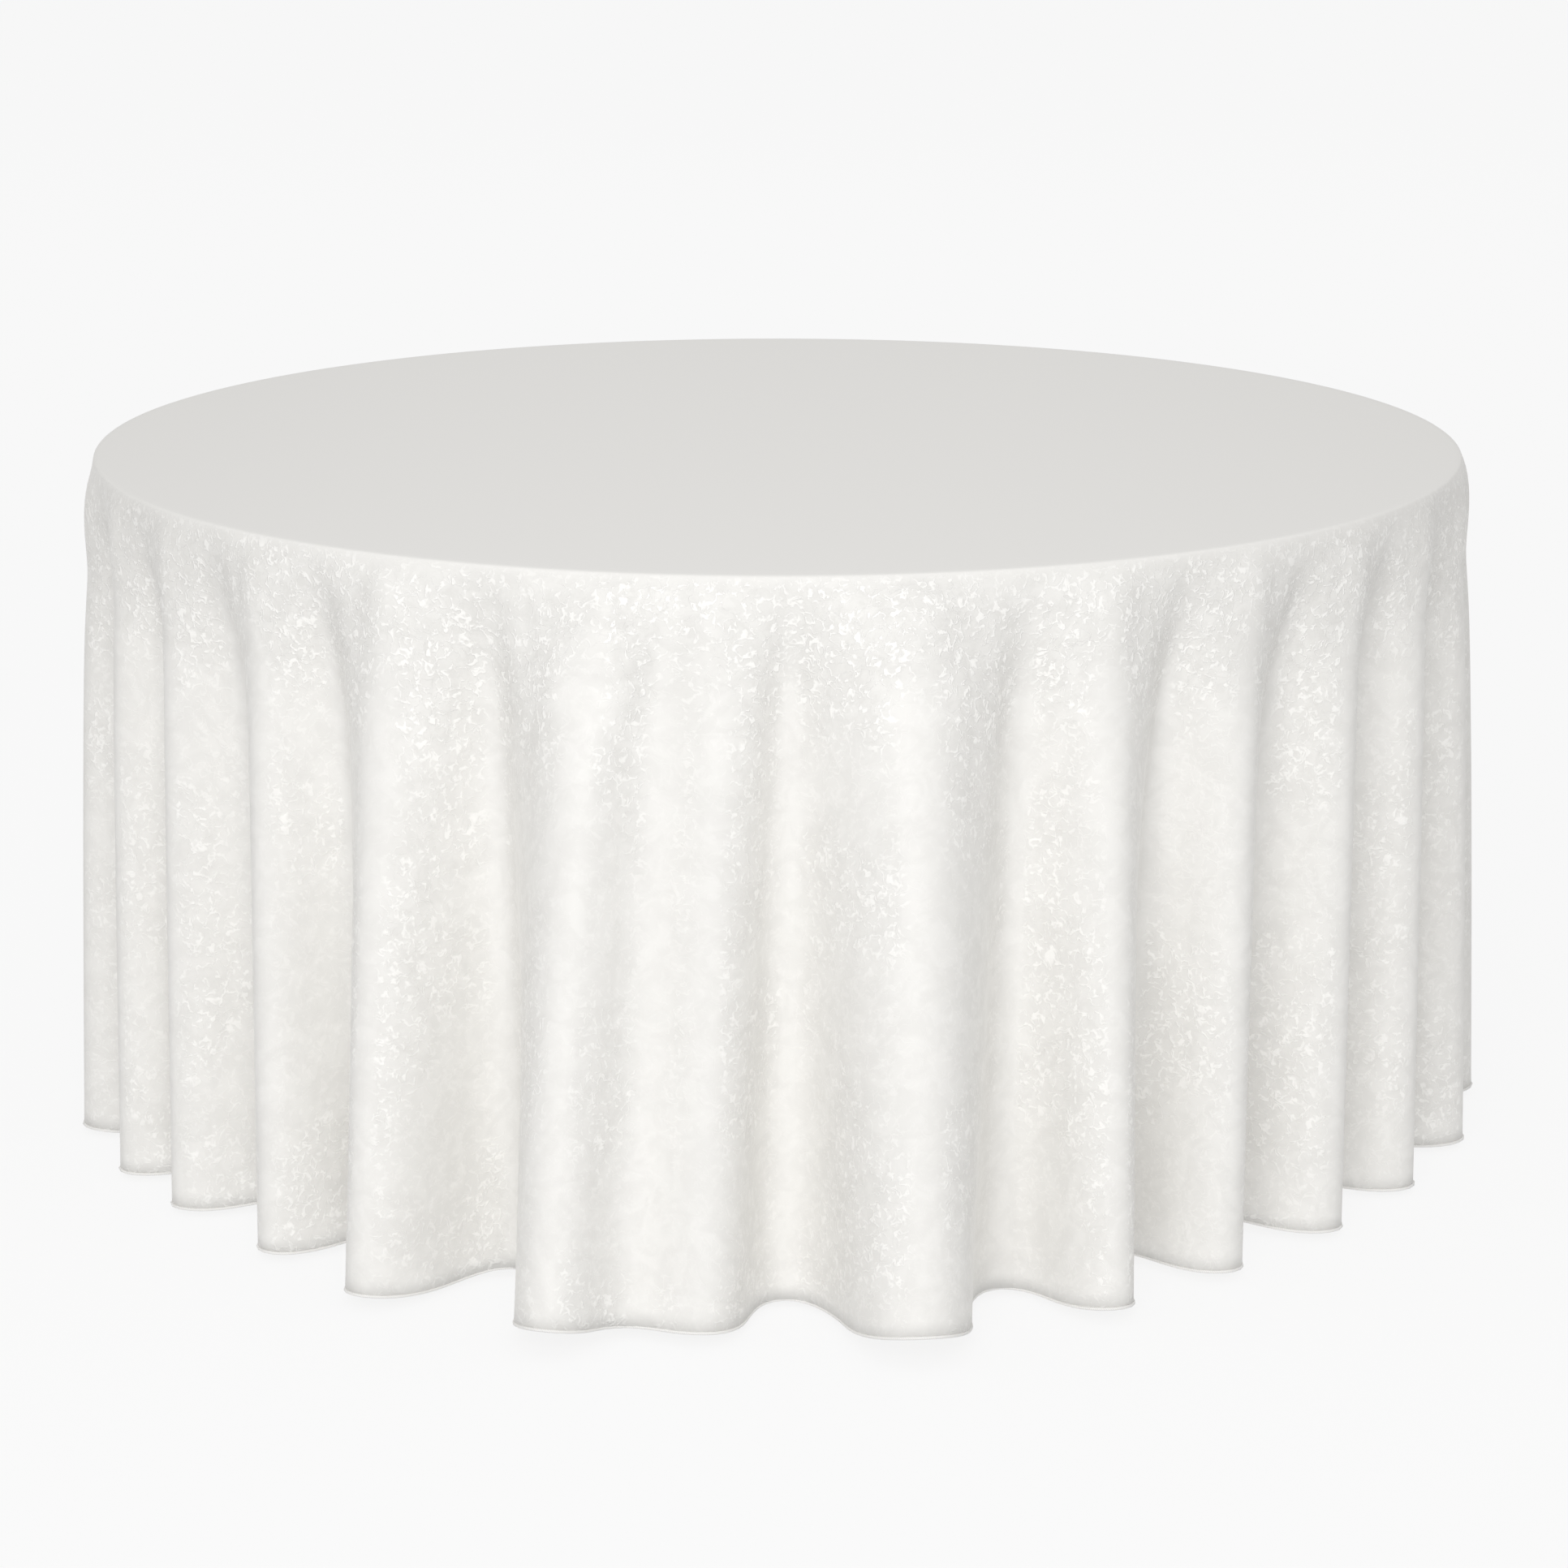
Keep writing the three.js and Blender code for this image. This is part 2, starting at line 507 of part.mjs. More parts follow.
function clothGeometry() {
  const rings = [roundingRing(0), roundingRing(Math.PI / 4),
    ...[0, 0.08, 0.22, 0.44, 0.71, 1].map(skirtRing)];
  const count = COLUMNS.length;
  const up = new THREE.Vector3(0, 0, 1);
  const outerRings = rings.map((ring, row) => ring.map((point, k) => {
    if (row === 0) return point.clone().addScaledVector(up, CLOTH_THICKNESS);
    const around = ring[(k + 1) % count].clone().sub(ring[(k + count - 1) % count]);
    const above = rings[row - 1][k];
    const below = rings[Math.min(row + 1, rings.length - 1)][k];
    const normal = below.clone().sub(above).cross(around).normalize();
    return point.clone().addScaledVector(normal, CLOTH_THICKNESS);
  }));
  const points = [
    ...outerRings.flat(), ...rings.flat(),
    new THREE.Vector3(0, 0, INNER_TOP + CLOTH_THICKNESS), new THREE.Vector3(0, 0, INNER_TOP),
  ];
  const outerAt = (row, k) => row * count + (k % count);
  const innerAt = (row, k) => rings.length * count + outerAt(row, k);
  const [outerCentre, innerCentre] = [points.length - 2, points.length - 1];
  const faces = [];
  for (let k = 0; k < count; k += 1) {
    faces.push([outerCentre, outerAt(0, k), outerAt(0, k + 1)]);
    faces.push([innerCentre, innerAt(0, k + 1), innerAt(0, k)]);
    for (let row = 0; row + 1 < rings.length; row += 1) {
      faces.push([outerAt(row, k), outerAt(row + 1, k), outerAt(row + 1, k + 1)]);
      faces.push([outerAt(row, k), outerAt(row + 1, k + 1), outerAt(row, k + 1)]);
      faces.push([innerAt(row, k), innerAt(row + 1, k + 1), innerAt(row + 1, k)]);
      faces.push([innerAt(row, k), innerAt(row, k + 1), innerAt(row + 1, k + 1)]);
    }
    const hem = rings.length - 1;
    faces.push([outerAt(hem, k), innerAt(hem, k), innerAt(hem, k + 1)]);
    faces.push([outerAt(hem, k), innerAt(hem, k + 1), outerAt(hem, k + 1)]);
  }
  const geometry = new THREE.BufferGeometry().setFromPoints(points);
  geometry.setIndex(faces.flat());
  return geometry;
}

add("tablecloth", clothGeometry(), CLOTH);

export default table;
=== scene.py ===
import math

import bpy
import numpy as np
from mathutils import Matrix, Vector


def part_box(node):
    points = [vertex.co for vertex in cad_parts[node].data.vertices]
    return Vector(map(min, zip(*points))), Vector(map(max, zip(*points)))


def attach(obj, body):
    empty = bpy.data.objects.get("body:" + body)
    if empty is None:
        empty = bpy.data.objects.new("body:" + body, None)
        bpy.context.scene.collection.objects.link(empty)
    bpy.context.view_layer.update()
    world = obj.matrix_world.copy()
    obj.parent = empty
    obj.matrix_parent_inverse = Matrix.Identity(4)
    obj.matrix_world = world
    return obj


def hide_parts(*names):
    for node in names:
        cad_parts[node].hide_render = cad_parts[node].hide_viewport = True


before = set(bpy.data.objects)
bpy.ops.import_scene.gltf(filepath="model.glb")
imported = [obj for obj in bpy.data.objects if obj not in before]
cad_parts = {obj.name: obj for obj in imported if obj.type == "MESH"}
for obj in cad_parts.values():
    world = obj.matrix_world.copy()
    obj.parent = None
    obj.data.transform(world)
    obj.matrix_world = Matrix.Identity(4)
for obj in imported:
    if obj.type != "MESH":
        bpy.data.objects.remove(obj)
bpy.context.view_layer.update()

# ---- Sizes, in metres ---------------------------------------------------------------------

TABLE_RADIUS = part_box("edge_band")[1].x
TABLE_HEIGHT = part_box("top_panel")[1].z
BAND_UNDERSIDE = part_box("edge_band")[0].z
CLOTH_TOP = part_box("tablecloth")[1].z
CLOTH_THICKNESS = 0.0012
HEM_CLEARANCE = 0.005
HEM_RADIUS = 0.0016
HEM_SIDES = 8
FLAT_RADIUS = TABLE_RADIUS + TABLE_HEIGHT - HEM_CLEARANCE
CLOTH_EDGE = TABLE_RADIUS + CLOTH_TOP - TABLE_HEIGHT
EDGE_ROUNDING = 0.0045

# The sheet's mesh: columns round it, and rings from the hem inwards. Near the middle of the
# table each ring, given by its radius, has half as many points as the one before.
COLUMNS = 384
SKIRT_RINGS = 26
SKIRT_RINGS_EVEN = 0.45
SKIRT_RINGS_CROWDING = 1.35
ROUNDING_STEPS = 3
TOP_RING = 0.735
INNER_RINGS = ((0.60, 192), (0.45, 96), (0.30, 48), (0.15, 24))

# How the folds begin under the table's edge. The shares are of the skirt's drop.
HALVINGS = 30
ROUNDEST_FOLD = 1.4
DEEPEST_FOLD = 1.5
EDGE_GIVE = 0.45
EDGE_GIVE_SHARE = 0.25
KEPT_OUT_PAST = 0.01
KEPT_OUT_SHARE = 0.13
LEAST_FALL = 0.3
EDGE_CLEARANCE = 0.004
TOUCHING = 0.001

# The drape: how long it runs, how firmly the skirt and the rows at its hem keep to the folds,
# and the plain forms that stand in for the table and the floor.
DRAPE_FRAMES = 40
SKIRT_HOLD = 0.02
HEM_HOLD = 0.25
HEM_ROWS = 3
TABLE_FORM_SLACK = 0.001
TABLE_FORM_SINK = 0.002
FORM_SKIN = 0.002
FLOOR_FORM_SIZE = 4

# The flanks of the folds: how far the cloth turns away from the middle where one begins, and
# how much further until it is full.
FLANK_START = 0.10
FLANK_SPAN = 0.35
FACING_UP = 0.9
LEAST_REACH = 0.01
LEAST_SLOPE = 0.05

# Crushed velvet's pile. Scales are in marks to the metre, and each span gives the values over
# which a mark fades in or out.
FLAKE_SIZE = 0.0085
FLAKE_LAYERS = ((1.0, 0.6), (2.1, 0.4))
TORN_SCALE = 85.0
TORN_REACH = 0.014
CREASE_SCALE = 82.0
CREASE_SPAN = (0.012, 0.06)
BREAK_SCALE = 130.0
BREAK_SPAN = (0.34, 0.50)
NAP_SCALE = 30.0
NAP_SPAN = (0.36, 0.64)
PATCH_SCALE = 5.5
PATCH_SPAN = (0.40, 0.60)
FLAKE_HEIGHT = 0.35
CREASE_HEIGHT = 0.65

# Velvet's colours, how strongly its crush marks and painted sheen show in each place, and how
# that turns its shade.
VELVET_SHADE = (0.73, 0.718, 0.692, 1.0)
VELVET_LIGHT = (0.94, 0.929, 0.903, 1.0)
RIM_SHEEN_STRENGTH = 0.55
PATCH_STRENGTH = 0.20
FLANK_SHEEN_STRENGTH = 0.42
STRENGTH_SPAN = (0.30, 0.90)
LEAST_STRENGTH = 0.07
CREASE_SHINE = 1.6
FLAKE_SHINE = 0.5
EVEN_SHINE = 0.50
PLAIN_SHADE = 0.49
NAP_CHANGE = 0.18
CRUSH_AND_SHEEN_CHANGE = 0.60
NOISE_MIDDLE = 0.5

# Overlock thread and birch plywood: their colours, the thread's darker one being painted shade
# in the grooves between its wraps, and how deeply pores and handling colour the wood.
THREAD_GROOVE_SHADE = (0.82, 0.81, 0.785, 1.0)
THREAD_LIGHT = (0.93, 0.92, 0.90, 1.0)
BIRCH_DARK = (0.50, 0.335, 0.19, 1.0)
BIRCH_PALE = (0.72, 0.54, 0.35, 1.0)
PORE_COLOUR = (0.30, 0.18, 0.09, 1.0)
PORE_DEPTH = 0.55
HANDLED_COLOUR = (0.42, 0.29, 0.17, 1.0)
HANDLING = 0.15

# How much duller and glossier a mottled finish is from smudge to smudge.
DULLER = 0.07
GLOSSIER = 0.05

# The studio: camera, floor, sky and softboxes.
CAMERA_PLACE = (0, -5.514, 1.725)
CAMERA_TILT = 13.84
CAMERA_LENS = 114
CAMERA_SHIFT = 0.004
SENSOR_WIDTH = 36
FLOOR_SIZE = 48
FLOOR_GLOW = 0.86
FLOOR_BOUNCE = 0.64
SKY_LOW = 0.29
SKY_HIGH = 0.82
BACKDROP = 0.94
KEY_POWER = 400
BACK_POWER = 20

NUMBER, VECTOR = "NodeSocketFloat", "NodeSocketVector"

# Each fold at the hem: the ridge's direction in degrees from the front towards +X and its
# distance from the middle, and then those of the valley after it.
FOLDS = (
    (9.2, 0.930, 17.7, 0.737), (24, 0.86, 29.5, 0.69), (35.5, 0.81, 42, 0.67),
    (48.5, 0.79, 55, 0.67), (61.5, 0.785, 68, 0.67), (75, 0.795, 82.5, 0.67),
    (90, 0.805, 97.5, 0.67), (105, 0.80, 112, 0.67), (119, 0.79, 125.5, 0.67),
    (132, 0.80, 138.5, 0.67), (145, 0.83, 151.5, 0.69), (158, 0.88, 165, 0.72),
    (172, 0.925, 180, 0.735), (187.5, 0.90, 194.5, 0.72), (201, 0.86, 207.5, 0.69),
    (214, 0.82, 220.5, 0.67), (227, 0.80, 233.5, 0.67), (240, 0.79, 247, 0.67),
    (254, 0.80, 261, 0.67), (268, 0.80, 274, 0.67), (281, 0.80, 287.5, 0.67),
    (294, 0.79, 299, 0.67), (304, 0.785, 311, 0.67), (318, 0.80, 323.5, 0.68),
    (330, 0.86, 337.5, 0.70), (345.5, 0.925, 350, 0.84), (355, 0.86, 360.5, 0.735),
)


# ---- Helpers ------------------------------------------------------------------------------

def deselect_all():
    bpy.ops.object.select_all(action="DESELECT")


def new_object(name, data):
    made = bpy.data.objects.new(name, data)
    bpy.context.scene.collection.objects.link(made)
    return made


def choose(piece):
    deselect_all()
    piece.select_set(True)
    bpy.context.view_layer.objects.active = piece


def apply_modifiers(piece):
    choose(piece)
    for modifier in list(piece.modifiers):
        bpy.ops.object.modifier_apply(modifier=modifier.name)


# ---- The cloth's shape --------------------------------------------------------------------

def hem_curve(roundness, steps=24):
    """The hem seen from above, as directions and distances from the middle."""
    directions, distances = [], []
    share = np.arange(steps) / steps
    for k, (ridge, far, valley, near) in enumerate(FOLDS):
        last = k + 1 == len(FOLDS)
        next_ridge = FOLDS[0][0] + 360 if last else FOLDS[k + 1][0]
        next_far = FOLDS[0][1] if last else FOLDS[k + 1][1]
        for a0, r0, a1, r1 in ((ridge, far, valley, near), (valley, near, next_ridge, next_far)):
            swell = roundness * np.sin(2 * math.pi * share) / (2 * math.pi)
            directions.append(np.radians(a0 + (a1 - a0) * (share + swell)))
            distances.append(r0 + (r1 - r0) * (1 - np.cos(math.pi * share)) / 2)
    return np.concatenate(directions), np.concatenate(distances)


def steps_round(directions, distances):
    """The length of each step from point to point round a closed ring."""
    x, y = distances * np.sin(directions), distances * np.cos(directions)
    return np.hypot(np.roll(x, -1) - x, np.roll(y, -1) - y)


def hem_columns():
    """Direction and distance of every column at the hem, equally spaced along the cloth."""
    wanted = 2 * math.pi * FLAT_RADIUS
    low, high = 0.0, ROUNDEST_FOLD
    for _ in range(HALVINGS):
        middle = (low + high) / 2
        if steps_round(*hem_curve(middle)).sum() < wanted:
            low = middle
        else:
            high = middle
    directions, distances = hem_curve(low)
    steps = steps_round(directions, distances)
    along = np.concatenate(([0], np.cumsum(steps))) / steps.sum() * 2 * math.pi
    directions = np.append(directions, directions[0] + 2 * math.pi)
    distances = np.append(distances, distances[0])
    drift = (directions[:-1] - along[:-1]).mean()
    flat = along + drift
    columns = np.arange(COLUMNS) * 2 * math.pi / COLUMNS
    wrapped = flat[0] + (columns - flat[0]) % (2 * math.pi)
    hem_direction = np.interp(wrapped, flat, directions)
    hem_direction += columns - wrapped
    return columns, hem_direction, np.interp(wrapped, flat, distances)


def skirt_rings(rows):
    """The rings' points below the table's edge, by their distance along the cloth."""
    columns, hem_direction, hem_distance = hem_columns()
    drop = rows[-1]
    inwards = CLOTH_EDGE - hem_distance.min()
    turn = hem_direction - columns
    points = []
    level = np.full(COLUMNS, CLOTH_TOP - EDGE_ROUNDING)
    last = None
    for past in rows:
        give = EDGE_GIVE + (1 - EDGE_GIVE) * min(1.0, past / (EDGE_GIVE_SHARE * drop))
        kept_out = 1 - (past - KEPT_OUT_PAST) / (KEPT_OUT_SHARE * drop)
        reach = hem_distance - CLOTH_EDGE + inwards * min(1.0, max(0.0, kept_out))
        wanted = 2 * math.pi * (CLOTH_EDGE + past * give)
        low, high = 0.0, DEEPEST_FOLD
        for _ in range(HALVINGS):
            depth = (low + high) / 2
            direction, distance = columns + depth * turn, CLOTH_EDGE + depth * reach
            if steps_round(direction, distance).sum() < wanted:
                low = depth
            else:
                high = depth
        x, y = distance * np.sin(direction), -distance * np.cos(direction)
        if last is not None:
            aside = np.hypot(x - last[0], y - last[1])
            step = past - last[2]
            fall = np.sqrt(np.maximum(step**2 - aside**2, (LEAST_FALL * step) ** 2))
            level = level - fall
        last = (x, y, past)
        points.append(np.stack([x, y, level], 1))
    return points


def ring_points(radius, count):
    turn = np.arange(count) * 2 * math.pi / count
    return np.stack([np.sin(turn) * radius, -np.cos(turn) * radius, np.zeros(count)], 1)


def cloth_mesh():
    """The draped sheet, and the same sheet laid flat, ring by ring from the hem inwards."""
    up = np.array([0, 0, 1.0])
    rounding_start = CLOTH_EDGE - EDGE_ROUNDING
    skirt_start = rounding_start + EDGE_ROUNDING * math.pi / 2
    drop = FLAT_RADIUS - skirt_start
    shares = np.linspace(0, 1, SKIRT_RINGS)
    crowded = (1 - SKIRT_RINGS_EVEN) * shares**SKIRT_RINGS_CROWDING
    rows = drop * (SKIRT_RINGS_EVEN * shares + crowded)
    rings = skirt_rings(rows)[::-1]
    flat_radii = list(skirt_start + rows)[::-1]
    pinned_from = COLUMNS * (SKIRT_RINGS - 1)
    for step in reversed(range(1, ROUNDING_STEPS)):
        turn = step / ROUNDING_STEPS * math.pi / 2
        flat_radii.append(rounding_start + EDGE_ROUNDING * turn)
        reach = rounding_start + EDGE_ROUNDING * math.sin(turn)
        sink = EDGE_ROUNDING * (1 - math.cos(turn))
        rings.append(ring_points(reach, COLUMNS) + up * (CLOTH_TOP - sink))
    for radius in (rounding_start, TOP_RING):
        flat_radii.append(radius)
        rings.append(ring_points(radius, COLUMNS) + up * CLOTH_TOP)
    flat_rings = [ring_points(radius, COLUMNS) for radius in flat_radii]
    faces = []
    for row in range(len(rings) - 1):
        outer, inner = row * COLUMNS, (row + 1) * COLUMNS
        for k in range(COLUMNS):
            after = (k + 1) % COLUMNS
            faces.append((outer + k, outer + after, inner + after, inner + k))
    outer, count = (len(rings) - 1) * COLUMNS, COLUMNS
    for radius, fewer in INNER_RINGS:
        flat_rings.append(ring_points(radius, fewer))
        rings.append(flat_rings[-1] + up * CLOTH_TOP)
        inner = outer + count
        for k in range(fewer):
            faces.append((outer + 2 * k, outer + 2 * k + 1, outer + (2 * k + 2) % count,
                          inner + (k + 1) % fewer, inner + k))
        outer, count = inner, fewer
    flat_rings.append(np.zeros((1, 3)))
    rings.append(np.array([up * CLOTH_TOP]))
    for k in range(count):
        faces.append((outer + k, outer + (k + 1) % count, outer + count))
    draped, flat = np.concatenate(rings), np.concatenate(flat_rings)
    mesh = bpy.data.meshes.new("tablecloth_sheet")
    mesh.from_pydata(draped.tolist(), [], faces)
    mesh.update()
    return mesh, flat, range(pinned_from, len(draped))


def drape(cloth, flat, pinned):
    """Lets the skirt hang under its own weight from the edge of the table."""
    cloth.shape_key_add(name="draped")
    cut = cloth.shape_key_add(name="flat_cut")
    cut.data.foreach_set("co", flat.astype(np.float32).ravel())
    held = cloth.vertex_groups.new(name="held")
    held.add(list(range(pinned.start)), SKIRT_HOLD, "REPLACE")
    held.add(list(range(COLUMNS * HEM_ROWS)), HEM_HOLD, "REPLACE")
    held.add(list(pinned), 1.0, "REPLACE")
    deselect_all()
    bpy.ops.mesh.primitive_cylinder_add(
        vertices=128, radius=TABLE_RADIUS - TABLE_FORM_SLACK,
        depth=TABLE_HEIGHT - BAND_UNDERSIDE,
        location=(0, 0, (TABLE_HEIGHT + BAND_UNDERSIDE) / 2 - TABLE_FORM_SINK))
    table_form = bpy.context.active_object
    bpy.ops.mesh.primitive_plane_add(size=FLOOR_FORM_SIZE, location=(0, 0, 0))
    floor_form = bpy.context.active_object
    for form in (table_form, floor_form):
        form.modifiers.new("Collision", "COLLISION")
        form.collision.thickness_outer = FORM_SKIN
        form.collision.cloth_friction = 5
    simulation = cloth.modifiers.new("Cloth", "CLOTH")
    settings = simulation.settings
    settings.quality = 8
    settings.mass = 0.15
    settings.tension_stiffness = 60
    settings.compression_stiffness = 60
    settings.shear_stiffness = 20
    settings.bending_stiffness = 1.5
    settings.tension_damping = 15
    settings.compression_damping = 15
    settings.shear_damping = 10
    settings.bending_damping = 1
    settings.air_damping = 3
    settings.vertex_group_mass = "held"
    settings.rest_shape_key = cut
    simulation.collision_settings.distance_min = 0.003
    simulation.point_cache.frame_start = 1
    simulation.point_cache.frame_end = DRAPE_FRAMES
    scene = bpy.context.scene
    for number in range(1, DRAPE_FRAMES + 1):
        scene.frame_set(number)
    settled = cloth.evaluated_get(bpy.context.evaluated_depsgraph_get())
    shape = np.empty(len(settled.data.vertices) * 3, np.float32)
    settled.data.vertices.foreach_get("co", shape)
    cloth.modifiers.remove(simulation)
    cloth.shape_key_clear()
    cloth.data.vertices.foreach_set("co", shape)
    cloth.vertex_groups.clear()
    for form in (table_form, floor_form):
        bpy.data.objects.remove(form)
    scene.frame_set(1)


def vertex_values(cloth, kind):
    values = np.empty(len(cloth.data.vertices) * 3)
    cloth.data.vertices.foreach_get(kind, values)
    return values.reshape(-1, 3)


def clear_table_edge(cloth):
    """Keeps the cloth outside the table's edge, and lets it in gradually underneath."""
    points = vertex_values(cloth, "co")
    skirt = slice(0, COLUMNS * (SKIRT_RINGS + ROUNDING_STEPS - 1))
    distance = np.hypot(points[skirt, 0], points[skirt, 1])
    below = np.maximum(0, BAND_UNDERSIDE - EDGE_CLEARANCE - points[skirt, 2])
    rounding_end = CLOTH_TOP - EDGE_ROUNDING - TOUCHING
    least = np.where(points[skirt, 2] > rounding_end, 0, CLOTH_EDGE - below)
    points[skirt, :2] *= (np.maximum(distance, least) / distance)[:, None]
    points[:, 2] = np.maximum(points[:, 2], HEM_CLEARANCE)
    cloth.data.vertices.foreach_set("co", points.ravel())


def finer_ring(points):
    """A closed ring after one subdivision."""
    before, after = np.roll(points, 1, axis=0), np.roll(points, -1, axis=0)
    finer = np.empty((2 * len(points), 3))
    finer[0::2] = (before + 6 * points + after) / 8
    finer[1::2] = (points + after) / 2
    return finer


def make_hem(cloth):
    """The narrow rolled hem: a bead of folded cloth and overlock thread round the edge."""
    points = vertex_values(cloth, "co")
    edge = finer_ring(points[:COLUMNS])
    above = finer_ring(points[COLUMNS:2 * COLUMNS])
    down = edge - above
    down /= np.linalg.norm(down, axis=1)[:, None]
    along = np.roll(edge, -1, axis=0) - np.roll(edge, 1, axis=0)
    along /= np.linalg.norm(along, axis=1)[:, None]
    out = np.cross(along, -down)
    out /= np.linalg.norm(out, axis=1)[:, None]
    count = len(edge)
    middle = edge - out * CLOTH_THICKNESS / 2
    steps = np.linalg.norm(np.roll(edge, -1, axis=0) - edge, axis=1)
    run = np.concatenate(([0], np.cumsum(steps)))
    sides = np.arange(HEM_SIDES) * 2 * math.pi / HEM_SIDES
    tube = np.concatenate([middle + HEM_RADIUS * (math.cos(a) * out + math.sin(a) * down)
                           for a in sides])
    faces, spots = [], []
    for side in range(HEM_SIDES):
        upper = (side + 1) % HEM_SIDES
        for k in range(count):
            after = (k + 1) % count
            faces.append((side * count + k, side * count + after,
                          upper * count + after, upper * count + k))
            low, high = side * HEM_RADIUS, (side + 1) * HEM_RADIUS
            spots += [(run[k], low), (run[k + 1], low), (run[k + 1], high), (run[k], high)]
    mesh = bpy.data.meshes.new("rolled_hem")
    mesh.from_pydata(tube.tolist(), [], faces)
    thread_map = mesh.uv_layers.new(name="thread")
    thread_map.data.foreach_set("uv", np.array(spots, np.float32).ravel())
    mesh.update()
    hem = new_object("rolled_hem", mesh)
    choose(hem)
    bpy.ops.object.mode_set(mode="EDIT")
    bpy.ops.mesh.select_all(action="SELECT")
    bpy.ops.mesh.normals_make_consistent(inside=False)
    bpy.ops.object.mode_set(mode="OBJECT")
    mesh.shade_smooth()
    return hem


def mark_flanks(cloth):
    """Marks how far the cloth turns away from the middle of the table: the folds' flanks."""
    normals, places = vertex_values(cloth, "normal"), vertex_values(cloth, "co")
    reach = np.linalg.norm(places[:, :2], axis=1)
    slope = np.linalg.norm(normals[:, :2], axis=1)
    outward = places[:, :2] / np.maximum(reach, LEAST_REACH)[:, None]
    facing = normals[:, :2] / np.maximum(slope, LEAST_SLOPE)[:, None]
    turned = np.abs(outward[:, 0] * facing[:, 1] - outward[:, 1] * facing[:, 0])
    turned[np.abs(normals[:, 2]) > FACING_UP] = 0
    marks = cloth.data.attributes.new("flank", "FLOAT", "POINT")
    marks.data.foreach_set("value", np.clip((turned - FLANK_START) / FLANK_SPAN, 0, 1))


def make_cloth():
    mesh, flat, pinned = cloth_mesh()
    cloth = new_object("draped_cloth", mesh)
    flat_map = mesh.uv_layers.new(name="flat_cut")
    corners = np.empty(len(mesh.loops), np.int32)
    mesh.loops.foreach_get("vertex_index", corners)
    flat_map.data.foreach_set("uv", flat[corners][:, :2].astype(np.float32).ravel())
    drape(cloth, flat, pinned)
    clear_table_edge(cloth)
    hem = make_hem(cloth)
    mesh.shade_smooth()
    subdivide = cloth.modifiers.new("Subdivide", "SUBSURF")
    subdivide.levels = 1
    subdivide.render_levels = 1
    apply_modifiers(cloth)
    mark_flanks(cloth)
    wall = cloth.modifiers.new("Thickness", "SOLIDIFY")
    wall.thickness = CLOTH_THICKNESS
    wall.offset = -1
    apply_modifiers(cloth)
    return cloth, hem


# ---- Material tools -----------------------------------------------------------------------

def add_node(tree, kind, settings=None, **inputs):
    """A new node; what is given for an input is a value, or a socket to join to it."""
    made = tree.nodes.new(kind)
    for name, value in (settings or {}).items():
        setattr(made, name, value)
    for name, value in inputs.items():
        plug(tree, made, name.replace("_", " "), value)
    return made


def plug(tree, made, name, value):
    socket = made.inputs[int(name[2:])] if name.startswith("in") else made.inputs[name]
    if isinstance(value, bpy.types.NodeSocket):
        tree.links.new(value, socket)
    else:
        socket.default_value = value


def calculate(tree, operation, first, second=0.0, third=0.0):
    made = add_node(tree, "ShaderNodeMath", {"operation": operation})
    for place, value in enumerate((first, second, third)):
        plug(tree, made, f"in{place}", value)
    return made.outputs[0]


def span(tree, value, low, high, to_low=0.0, to_high=1.0):
    """Stretches low..high over to_low..to_high with soft ends."""
    made = add_node(tree, "ShaderNodeMapRange", {"interpolation_type": "SMOOTHSTEP"})
    for place, number in enumerate((value, low, high, to_low, to_high)):
        plug(tree, made, f"in{place}", number)
    return made.outputs[0]


def blend_colours(tree, share, first, second):
    made = add_node(tree, "ShaderNodeMix", {"data_type": "RGBA"})
    plug(tree, made, "in0", share)
    plug(tree, made, "in6", first)
    plug(tree, made, "in7", second)
    return made.outputs[2]


def noise(tree, where, scale, detail=2.0, distortion=0.0):
    return add_node(tree, "ShaderNodeTexNoise", Vector=where, Scale=scale, Detail=detail,
                    Distortion=distortion).outputs[0]


def start_group(name, inputs, outputs):
    group = bpy.data.node_groups.new(name, "ShaderNodeTree")
    for label, kind, value in inputs:
        socket = group.interface.new_socket(name=label, in_out="INPUT", socket_type=kind)
        if value is not None:
            socket.default_value = value
    for label, kind in outputs:
        group.interface.new_socket(name=label, in_out="OUTPUT", socket_type=kind)
    return group, group.nodes.new("NodeGroupInput"), group.nodes.new("NodeGroupOutput")


def place_group(tree, group, **inputs):
    return add_node(tree, "ShaderNodeGroup", {"node_tree": group}, **inputs)


def start_material(name, **values):
    finish = bpy.data.materials.new(name)
    finish.use_nodes = True
    tree = finish.node_tree
    shader = tree.nodes["Principled BSDF"]
    for label, value in values.items():
        plug(tree, shader, label.replace("_", " "), value)
    return finish, tree, shader


def add_bump(tree, shader, height, strength, distance):
    bump = add_node(tree, "ShaderNodeBump", Height=height, Strength=strength,
                    Distance=distance)
    tree.links.new(bump.outputs[0], shader.inputs["Normal"])


# ---- Shared effects -----------------------------------------------------------------------

